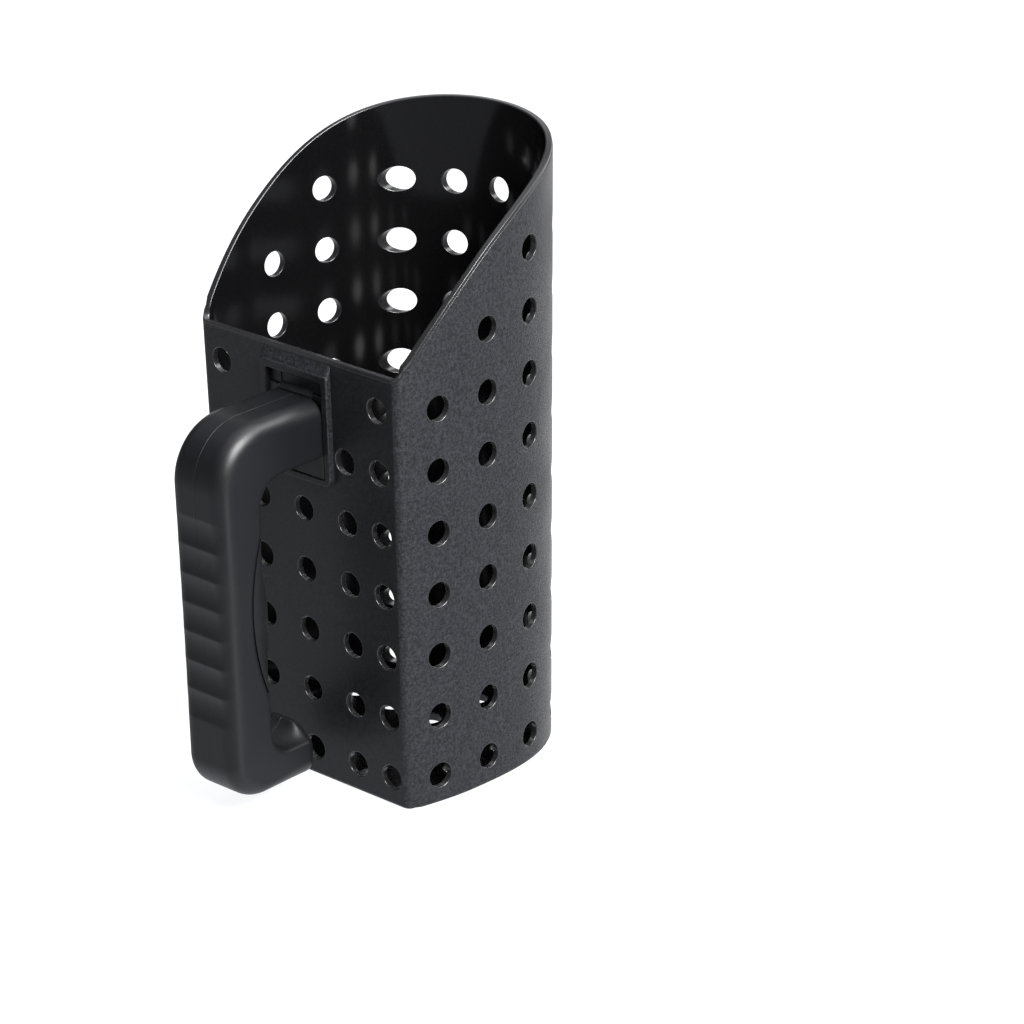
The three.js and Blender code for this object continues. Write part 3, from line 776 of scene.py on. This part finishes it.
def root_blocks(side):
    """Boxes of the root in the wall's frame: two corners, and how far the inner face leans out."""
    outer, inner = -PAD_THICKNESS - 0.05, -ROOT_CLEARANCE
    side_face = GRIP_HALF_WIDTH
    flange = ((SEAM_HALF_GAP, outer, POCKET_BOTTOM + 0.3), (side_face, inner, 130.3), 0)
    flank = ((7.9, outer, 130.0), (side_face, inner, 133.5), 0)
    ramp = ((SEAM_HALF_GAP, outer, 130.0), (7.4, inner, RAMP_TOP), RAMP_LEAN)
    cheek = ((CHEEK_INNER, inner - CHEEK_THICKNESS, 133.0), (side_face, inner, CHEEK_TOP), 0)
    neck = ((9.4, -1.0, HOOK_BOTTOM), (11.6, WALL + 1.0, HOOK_TOP), 0)
    hook = ((8.2, WALL + 0.5, HOOK_BOTTOM), (12.8, WALL + 2.4, HOOK_TOP), 0)
    blocks = []
    for low, high, lean in (flange, flank, ramp, cheek, neck, hook):
        xs = sorted((side * low[0], side * high[0]))
        blocks.append(((xs[0], low[1], low[2]), (xs[1], high[1], high[2]), lean))
    return blocks


def mesh_object(name, points, faces, material):
    """An object from points in the wall's frame."""
    mesh = bpy.data.meshes.new(name)
    mesh.from_pydata((on_wall(np.asarray(points, float)) * MM).tolist(), [], faces)
    mesh.materials.append(material)
    piece = bpy.data.objects.new(name, mesh)
    bpy.context.scene.collection.objects.link(piece)
    return piece


def join_block(piece, low, high, lean):
    """Adds a box with softened edges to a piece. Its inner face can lean out towards the top."""
    low, high = np.array(low), np.array(high)
    soft = 0.25
    points, faces = [], []
    for corner in range(8):
        pick = np.array([corner & 1, corner >> 1 & 1, corner >> 2 & 1])
        base_point = low + (high - low) * pick
        base_point[1] -= lean * pick[1] * pick[2]
        inwards = soft * (1 - 2 * pick)
        for axis in range(3):
            kept = inwards.copy()
            kept[axis] = 0
            points.append(base_point + kept)
    index = lambda x, y, z, axis: (x + 2 * y + 4 * z) * 3 + axis
    for axis in range(3):
        for value in (0, 1):
            ring = []
            for a, b in ((0, 0), (1, 0), (1, 1), (0, 1)):
                place = [0, 0, 0]
                place[axis] = value
                place[(axis + 1) % 3] = a
                place[(axis + 2) % 3] = b
                ring.append(index(*place, axis))
            faces.append(tuple(ring if value else ring[::-1]))
    for axis in range(3):
        u, v = (axis + 1) % 3, (axis + 2) % 3
        for a, b in ((0, 0), (1, 0), (1, 1), (0, 1)):
            ends = []
            for value in (0, 1):
                place = [0, 0, 0]
                place[axis], place[u], place[v] = value, a, b
                ends.append(place)
            ring = [index(*ends[0], u), index(*ends[1], u), index(*ends[1], v), index(*ends[0], v)]
            faces.append(tuple(ring if (a == b) else ring[::-1]))
    for corner in range(8):
        bits = (corner & 1, corner >> 1 & 1, corner >> 2 & 1)
        ring = [index(*bits, axis) for axis in range(3)]
        faces.append(tuple(ring if sum(bits) % 2 else ring[::-1]))
    mesh = piece.data
    start = len(mesh.vertices)
    old = [list(v.co) for v in mesh.vertices]
    old_faces = [list(p.vertices) for p in mesh.polygons]
    new = (on_wall(np.array(points)) * MM).tolist()
    fresh = bpy.data.meshes.new(mesh.name)
    fresh.from_pydata(old + new, [], old_faces + [[start + v for v in face] for face in faces])
    for material in mesh.materials:
        fresh.materials.append(material)
    piece.data = fresh
    bpy.data.meshes.remove(mesh)


def smooth(piece, degrees=32):
    """Smooth shading, with edges sharper than an angle left crisp."""
    mesh = piece.data
    mesh.polygons.foreach_set("use_smooth", [True] * len(mesh.polygons))
    mesh.set_sharp_from_angle(angle=math.radians(degrees))


def finger_pad(material):
    """The lens-shaped pad on the finger side, with a round nose."""
    gap = 0.3
    half = GRIP_HALF_WIDTH - 0.45
    rings = []
    steps = 60
    for step in range(steps + 1):
        height = FINGER_PAD_BOTTOM + 2.0 + (FINGER_PAD_TOP - FINGER_PAD_BOTTOM - 4.0) * step / steps
        back = float(finger_curve(height, -FINGER_PAD_SINK)) + gap
        nose = float(finger_curve(height, FINGER_PAD_SWELL)) - back
        ring = []
        for angle in np.linspace(0, math.pi, 41):
            ring.append((half * math.cos(angle), back + nose * abs(math.sin(angle)) ** 0.92, height))
        rings.append(ring)
    count = len(rings[0])
    faces = bands(rings)
    faces.append(tuple(range(count))[::-1])
    faces.append(tuple(range(steps * count, (steps + 1) * count)))
    return mesh_object("finger_pad_soft", np.concatenate(rings), faces, material)


def recess_left(shell):
    """Cuts the three screw recesses into the left shell."""
    for number, (y, z) in enumerate(SCREW_PLACES):
        cutter = turned("cutter_%d" % number, [(0, -30), (SCREW_RECESS, -30), (SCREW_RECESS, 0.0), (0, 0.0)])
        bottom = -GRIP_HALF_WIDTH + HEAD_DEPTH + HEAD_HEIGHT
        cutter.matrix_world = ON_WALL_METRES @ Matrix.Translation(Vector((bottom, y, z)) * MM)
        cut = shell.modifiers.new("recess", "BOOLEAN")
        cut.operation = "DIFFERENCE"
        cut.solver = "EXACT"
        cut.object = cutter
        bake_modifiers(shell)
        bpy.data.objects.remove(cutter)


ON_WALL_METRES = Matrix.Translation((0, BACK_Y * MM, 0)) @ Matrix.Rotation(math.atan(BACK_DRAFT), 4, "X")


def bake_modifiers(piece):
    """Replaces a piece's mesh by what its modifiers make of it."""
    bpy.context.view_layer.update()
    graph = bpy.context.evaluated_depsgraph_get()
    made = bpy.data.meshes.new_from_object(piece.evaluated_get(graph))
    piece.modifiers.clear()
    piece.data = made


def turned(name, profile, steps=40):
    """A solid of revolution about X from (radius, x) pairs that start and end on the axis."""
    points, faces = [(profile[0][1], 0, 0)], []
    for radius, x in profile[1:-1]:
        for angle in np.linspace(0, 2 * math.pi, steps, endpoint=False):
            points.append((x, radius * math.cos(angle), radius * math.sin(angle)))
    points.append((profile[-1][1], 0, 0))
    last = len(points) - 1
    rows = len(profile) - 2
    for k in range(steps):
        after = (k + 1) % steps
        faces.append((0, 1 + after, 1 + k))
        for ring in range(rows - 1):
            low = 1 + ring * steps
            faces.append((low + k, low + after, low + steps + after, low + steps + k))
        faces.append((last, last - steps + k, last - steps + after))
    mesh = bpy.data.meshes.new(name)
    mesh.from_pydata((np.array(points) * MM).tolist(), [], faces)
    piece = bpy.data.objects.new(name, mesh)
    bpy.context.scene.collection.objects.link(piece)
    return piece


def screw(name, place, material):
    """A pan-head screw along X with a cross recess, its head at the left."""
    y, z = place
    face = -GRIP_HALF_WIDTH + HEAD_DEPTH
    profile = [(0, face)]
    for turn in np.linspace(0, math.pi / 2, 7):
        profile.append((HEAD_RADIUS - 1.0 + 1.0 * math.sin(turn), face + 1.0 - 1.0 * math.cos(turn)))
    profile += [(HEAD_RADIUS, face + HEAD_HEIGHT), (SHANK_RADIUS, face + HEAD_HEIGHT)]
    threads = np.arange(face + HEAD_HEIGHT + 1.0, SHANK_END - 2.0, 1.1)
    for start in threads:
        root = SHANK_RADIUS - THREAD_DEPTH
        profile += [(root, start), (SHANK_RADIUS, start + 0.45), (root, start + 0.9)]
    profile += [(SHANK_RADIUS - 0.3, SHANK_END - 1.2), (0, SHANK_END)]
    piece = turned(name, profile, 32)
    piece.data.materials.append(material)
    for turn in (0.35, 0.35 + math.pi / 2):
        cutter = cross_cutter(face)
        cutter.matrix_world = Matrix.Rotation(turn, 4, "X")
        cut = piece.modifiers.new("cross", "BOOLEAN")
        cut.operation = "DIFFERENCE"
        cut.solver = "EXACT"
        cut.object = cutter
        bake_modifiers(piece)
        bpy.data.objects.remove(cutter)
    piece.data.transform(ON_WALL_METRES @ Matrix.Translation(Vector((0, y, z)) * MM))
    return piece


def cross_cutter(face):
    """One tapered blade of a cross recess."""
    wide, deep, half = 1.75, 1.3, 0.3
    points = []
    for x, reach in ((face - 1.0, wide + 0.8), (face + deep, 0.5)):
        for sy, sz in ((-1, -1), (1, -1), (1, 1), (-1, 1)):
            points.append((x, sy * reach, sz * half))
    faces = [(0, 1, 2, 3), (7, 6, 5, 4), (0, 4, 5, 1), (1, 5, 6, 2), (2, 6, 7, 3), (3, 7, 4, 0)]
    mesh = bpy.data.meshes.new("blade")
    mesh.from_pydata((np.array(points) * MM).tolist(), [], faces)
    piece = bpy.data.objects.new("blade", mesh)
    bpy.context.scene.collection.objects.link(piece)
    return piece


# ---------------------------------------------------------------- materials


def plastic(name, colour, roughness, specular, grain=0.0, grain_scale=2600.0, fine=0.0, mottle=0.15,
            relief=0.08, grain_tone_and_painted_glint=1.3):
    """Black moulded plastic: uneven gloss, a spark-eroded grain whose tone is lifted in specks as painted
    glints, and a little dust in the pores.
    """
    material = bpy.data.materials.new(name)
    material.use_nodes = True
    nodes, links = material.node_tree.nodes, material.node_tree.links
    shader = nodes["Principled BSDF"]
    shader.inputs["Specular IOR Level"].default_value = specular
    place = nodes.new("ShaderNodeTexCoord")

    def noise(scale, detail, rough=0.5):
        node = nodes.new("ShaderNodeTexNoise")
        node.inputs["Scale"].default_value = scale
        node.inputs["Detail"].default_value = detail
        node.inputs["Roughness"].default_value = rough
        links.new(place.outputs["Object"], node.inputs["Vector"])
        return node.outputs["Fac"]

    def ramp(source, low, high, low_value, high_value):
        node = nodes.new("ShaderNodeMapRange")
        node.inputs["From Min"].default_value = low
        node.inputs["From Max"].default_value = high
        node.inputs["To Min"].default_value = low_value
        node.inputs["To Max"].default_value = high_value
        links.new(source, node.inputs["Value"])
        return node.outputs["Result"]

    cloud = noise(38.0, 3.0)
    links.new(ramp(cloud, 0.3, 0.7, roughness * (1 - mottle), roughness * (1 + mottle)),
              shader.inputs["Roughness"])
    # Grain tone: random, from 0.8 times the colour up to several times it in specks. Where that factor is
    # large, as on the grained walls, the specks are painted glints on the grain.
    tint = nodes.new("ShaderNodeValToRGB")
    tint.color_ramp.elements[0].position = 0.35
    tint.color_ramp.elements[1].position = 0.72
    tint.color_ramp.elements[0].color = (*[c * 0.8 for c in colour], 1)
    tint.color_ramp.elements[1].color = (*[c * grain_tone_and_painted_glint for c in colour], 1)
    links.new(noise(grain_scale * 0.7, 2.0), tint.inputs["Fac"])
    dust = nodes.new("ShaderNodeTexVoronoi")
    dust.inputs["Scale"].default_value = 85.0
    links.new(place.outputs["Object"], dust.inputs["Vector"])
    speck = ramp(dust.outputs["Distance"], 0.012, 0.02, 1.0, 0.0)
    chance = nodes.new("ShaderNodeMath")
    chance.operation = "GREATER_THAN"
    chance.inputs[1].default_value = 0.72
    links.new(dust.outputs["Color"], chance.inputs[0])
    both = nodes.new("ShaderNodeMath")
    both.operation = "MULTIPLY"
    links.new(speck, both.inputs[0])
    links.new(chance.outputs[0], both.inputs[1])
    mix = nodes.new("ShaderNodeMix")
    mix.data_type = "RGBA"
    mix.inputs["B"].default_value = (0.22, 0.22, 0.23, 1)
    links.new(both.outputs[0], mix.inputs["Factor"])
    links.new(tint.outputs["Color"], mix.inputs["A"])
    links.new(mix.outputs["Result"], shader.inputs["Base Color"])
    last = None
    for amount, scale, detail in ((grain, grain_scale, 2.0), (fine, grain_scale * 2.6, 1.0)):
        if amount <= 0:
            continue
        bump = nodes.new("ShaderNodeBump")
        bump.inputs["Strength"].default_value = amount
        bump.inputs["Distance"].default_value = relief * MM
        links.new(noise(scale, detail), bump.inputs["Height"])
        if last is not None:
            links.new(last, bump.inputs["Normal"])
        last = bump.outputs["Normal"]
    if last is not None:
        links.new(last, shader.inputs["Normal"])
    return material


def steel(name):
    """Zinc-plated steel with a soft, uneven shine."""
    material = bpy.data.materials.new(name)
    material.use_nodes = True
    nodes, links = material.node_tree.nodes, material.node_tree.links
    shader = nodes["Principled BSDF"]
    shader.inputs["Metallic"].default_value = 1.0
    place = nodes.new("ShaderNodeTexCoord")
    noise = nodes.new("ShaderNodeTexNoise")
    noise.inputs["Scale"].default_value = 900.0
    links.new(place.outputs["Object"], noise.inputs["Vector"])
    tint = nodes.new("ShaderNodeValToRGB")
    tint.color_ramp.elements[0].color = (0.36, 0.37, 0.39, 1)
    tint.color_ramp.elements[1].color = (0.56, 0.57, 0.60, 1)
    links.new(noise.outputs["Fac"], tint.inputs["Fac"])
    links.new(tint.outputs["Color"], shader.inputs["Base Color"])
    gloss = nodes.new("ShaderNodeMapRange")
    gloss.inputs["To Min"].default_value = 0.22
    gloss.inputs["To Max"].default_value = 0.42
    links.new(noise.outputs["Fac"], gloss.inputs["Value"])
    links.new(gloss.outputs["Result"], shader.inputs["Roughness"])
    return material


# ---------------------------------------------------------------- stage, light and camera


def stage():
    """A plain pale floor, evenly lit and kept out of the plastic's reflections."""
    mesh = bpy.data.meshes.new("floor")
    reach = 6.0
    mesh.from_pydata([(-reach, -reach, 0), (reach, -reach, 0), (reach, reach, 0), (-reach, reach, 0)],
                     [], [(0, 1, 2, 3)])
    ground = bpy.data.objects.new("floor", mesh)
    bpy.context.scene.collection.objects.link(ground)
    paper = bpy.data.materials.new("floor_paper")
    paper.use_nodes = True
    shader = paper.node_tree.nodes["Principled BSDF"]
    shader.inputs["Base Color"].default_value = (0.22, 0.22, 0.22, 1)
    shader.inputs["Roughness"].default_value = 0.9
    shader.inputs["Specular IOR Level"].default_value = 0.0
    shader.inputs["Emission Color"].default_value = (0.98, 0.99, 1.0, 1)
    shader.inputs["Emission Strength"].default_value = 0.93
    mesh.materials.append(paper)
    ground.visible_glossy = False


def softbox(name, place, target, size, power):
    """A rectangular area light that faces a point."""
    light = bpy.data.lights.new(name, "AREA")
    light.shape = "RECTANGLE"
    light.size, light.size_y = size
    light.energy = power
    lamp = bpy.data.objects.new(name, light)
    lamp.location = place
    lamp.rotation_euler = (Vector(target) - Vector(place)).to_track_quat("-Z", "Y").to_euler()
    bpy.context.scene.collection.objects.link(lamp)


def lighting():
    """Softboxes at the upper right, and a studio that is dark in front and pale behind."""
    softbox("key_softbox", (1.08, -0.26, 1.15), (0, 0, 0.12), (0.8, 0.8), 60)
    softbox("rear_strip", (0.7, 0.75, 1.2), (0, 0, 0.12), (1.3, 0.5), 10)
    world = bpy.data.worlds.new("studio")
    bpy.context.scene.world = world
    world.use_nodes = True
    world.cycles.sampling_method = "NONE"
    nodes, links = world.node_tree.nodes, world.node_tree.links
    place = nodes.new("ShaderNodeTexCoord")
    parts = nodes.new("ShaderNodeSeparateXYZ")
    links.new(place.outputs["Generated"], parts.inputs[0])
    height = nodes.new("ShaderNodeMapRange")
    height.inputs["From Min"].default_value = -1.0
    height.inputs["From Max"].default_value = 1.0
    links.new(parts.outputs["Z"], height.inputs["Value"])
    table = nodes.new("ShaderNodeValToRGB")
    table.color_ramp.elements[0].position = 0.12
    table.color_ramp.elements[0].color = (0.9, 0.92, 0.98, 1)
    table.color_ramp.elements[1].position = 1.0
    table.color_ramp.elements[1].color = (1.2, 1.2, 1.25, 1)
    for share, value in ((0.32, 0.34), (0.5, 0.14), (0.55, 0.06), (0.84, 0.09), (0.92, 0.8)):
        stop = table.color_ramp.elements.new(share)
        stop.color = (value * 0.95, value * 0.97, value * 1.05, 1)
    links.new(height.outputs["Result"], table.inputs["Fac"])
    total = table.outputs["Color"]
    # direction, where the glow begins and is full as a cosine, and its brightness
    pale_sides = (
        ((-0.35, 0.94, 0.0), 0.62, 0.97, 1.3),
        ((0.93, 0.2, -0.3), 0.6, 1.0, 0.12),
        ((0.9, -0.24, -0.36), 0.955, 1.0, 1.8),
        ((0.3, 0.35, 0.89), 0.88, 0.99, 2.2),
    )
    for direction, begins, full, amount in pale_sides:
        facing = nodes.new("ShaderNodeVectorMath")
        facing.operation = "DOT_PRODUCT"
        facing.inputs[1].default_value = direction
        links.new(place.outputs["Generated"], facing.inputs[0])
        glow = nodes.new("ShaderNodeMapRange")
        glow.inputs["From Min"].default_value = begins
        glow.inputs["From Max"].default_value = full
        glow.inputs["To Max"].default_value = amount
        links.new(facing.outputs["Value"], glow.inputs["Value"])
        joined = nodes.new("ShaderNodeVectorMath")
        joined.operation = "ADD"
        links.new(total, joined.inputs[0])
        links.new(glow.outputs["Result"], joined.inputs[1])
        total = joined.outputs["Vector"]
    links.new(total, nodes["Background"].inputs["Color"])
    nodes["Background"].inputs["Strength"].default_value = 1.0
    bpy.context.scene.view_settings.view_transform = "Standard"


def camera():
    """The camera, at the view's azimuth and elevation."""
    azimuth, elevation, roll = math.radians(44.257), math.radians(21.600), math.radians(-0.919)
    right = Vector((math.cos(azimuth), math.sin(azimuth), 0))
    back = Vector((math.sin(azimuth) * math.cos(elevation), -math.cos(azimuth) * math.cos(elevation),
                   math.sin(elevation)))
    up = back.cross(right)
    side = right * math.cos(roll) + up * math.sin(roll)
    over = up * math.cos(roll) - right * math.sin(roll)
    data = bpy.data.cameras.new("camera")
    data.sensor_width = 36.0
    data.lens = 161.07
    eye = bpy.data.objects.new("camera", data)
    turn = Matrix((side, over, back)).transposed().to_4x4()
    eye.matrix_world = Matrix.Translation((1.0432, -1.0158, 0.6594)) @ turn
    bpy.context.scene.collection.objects.link(eye)
    bpy.context.scene.camera = eye


# ---------------------------------------------------------------- assembly

camera()
stage()
lighting()

BLACK = (0.0052, 0.0054, 0.0066)
# The large speck factors of the grained walls and the back wall paint glints on the grain.
grainy = plastic("bucket_grained", BLACK, 0.46, 0.4, grain=1.0, grain_scale=1350.0, fine=0.7,
                 relief=0.22, grain_tone_and_painted_glint=3.8)
satin = plastic("bucket_back_satin", BLACK, 0.36, 0.4, grain=0.4, grain_scale=1600.0, fine=0.2,
                grain_tone_and_painted_glint=2.0)
# The inside's glossier finish is real. Its black is darker than the outside's, and that is painted shade.
gloss = plastic("bucket_inside_gloss_painted_shade", (0.0032, 0.0032, 0.0035), 0.13, 0.42)
# Edges of holes, the rim's band and the base's holes: glossy, with a black about 2.5 times as bright as the
# walls', which is painted sheen.
edge = plastic("bucket_edge_painted_sheen", (0.013, 0.013, 0.0142), 0.24, 0.65)
handle_black = plastic("handle_satin", (0.0052, 0.0054, 0.0066), 0.38, 0.45, grain=0.5, grain_scale=3000.0)
pad_black = plastic("finger_pad_matte", (0.006, 0.0062, 0.0074), 0.46, 0.45, grain=0.35, grain_scale=3600.0)
zinc = steel("screw_zinc")

shell = bucket([grainy, satin, gloss, edge])
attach(shell, "bucket")
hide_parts("bucket")

for side, node in ((1, "handle_right_shell"), (-1, "handle_left_shell")):
    half = handle_shell(side, handle_black)
    if side < 0:
        recess_left(half)
    smooth(half)
    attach(half, "handle")
    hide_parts(node)

soft = finger_pad(pad_black)
smooth(soft, 50)
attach(soft, "handle")
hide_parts("finger_pad")

for label, place in zip(("root", "grip", "toe"), SCREW_PLACES):
    fastener = screw("screw_" + label, place, zinc)
    smooth(fastener, 40)
    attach(fastener, "handle")
    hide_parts("handle_screw_" + label)

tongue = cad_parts["latch_tongue"]
tongue.data.materials.clear()
tongue.data.materials.append(satin)
soften = tongue.modifiers.new("soft_edges", "BEVEL")
soften.width = 0.25 * MM
soften.segments = 2
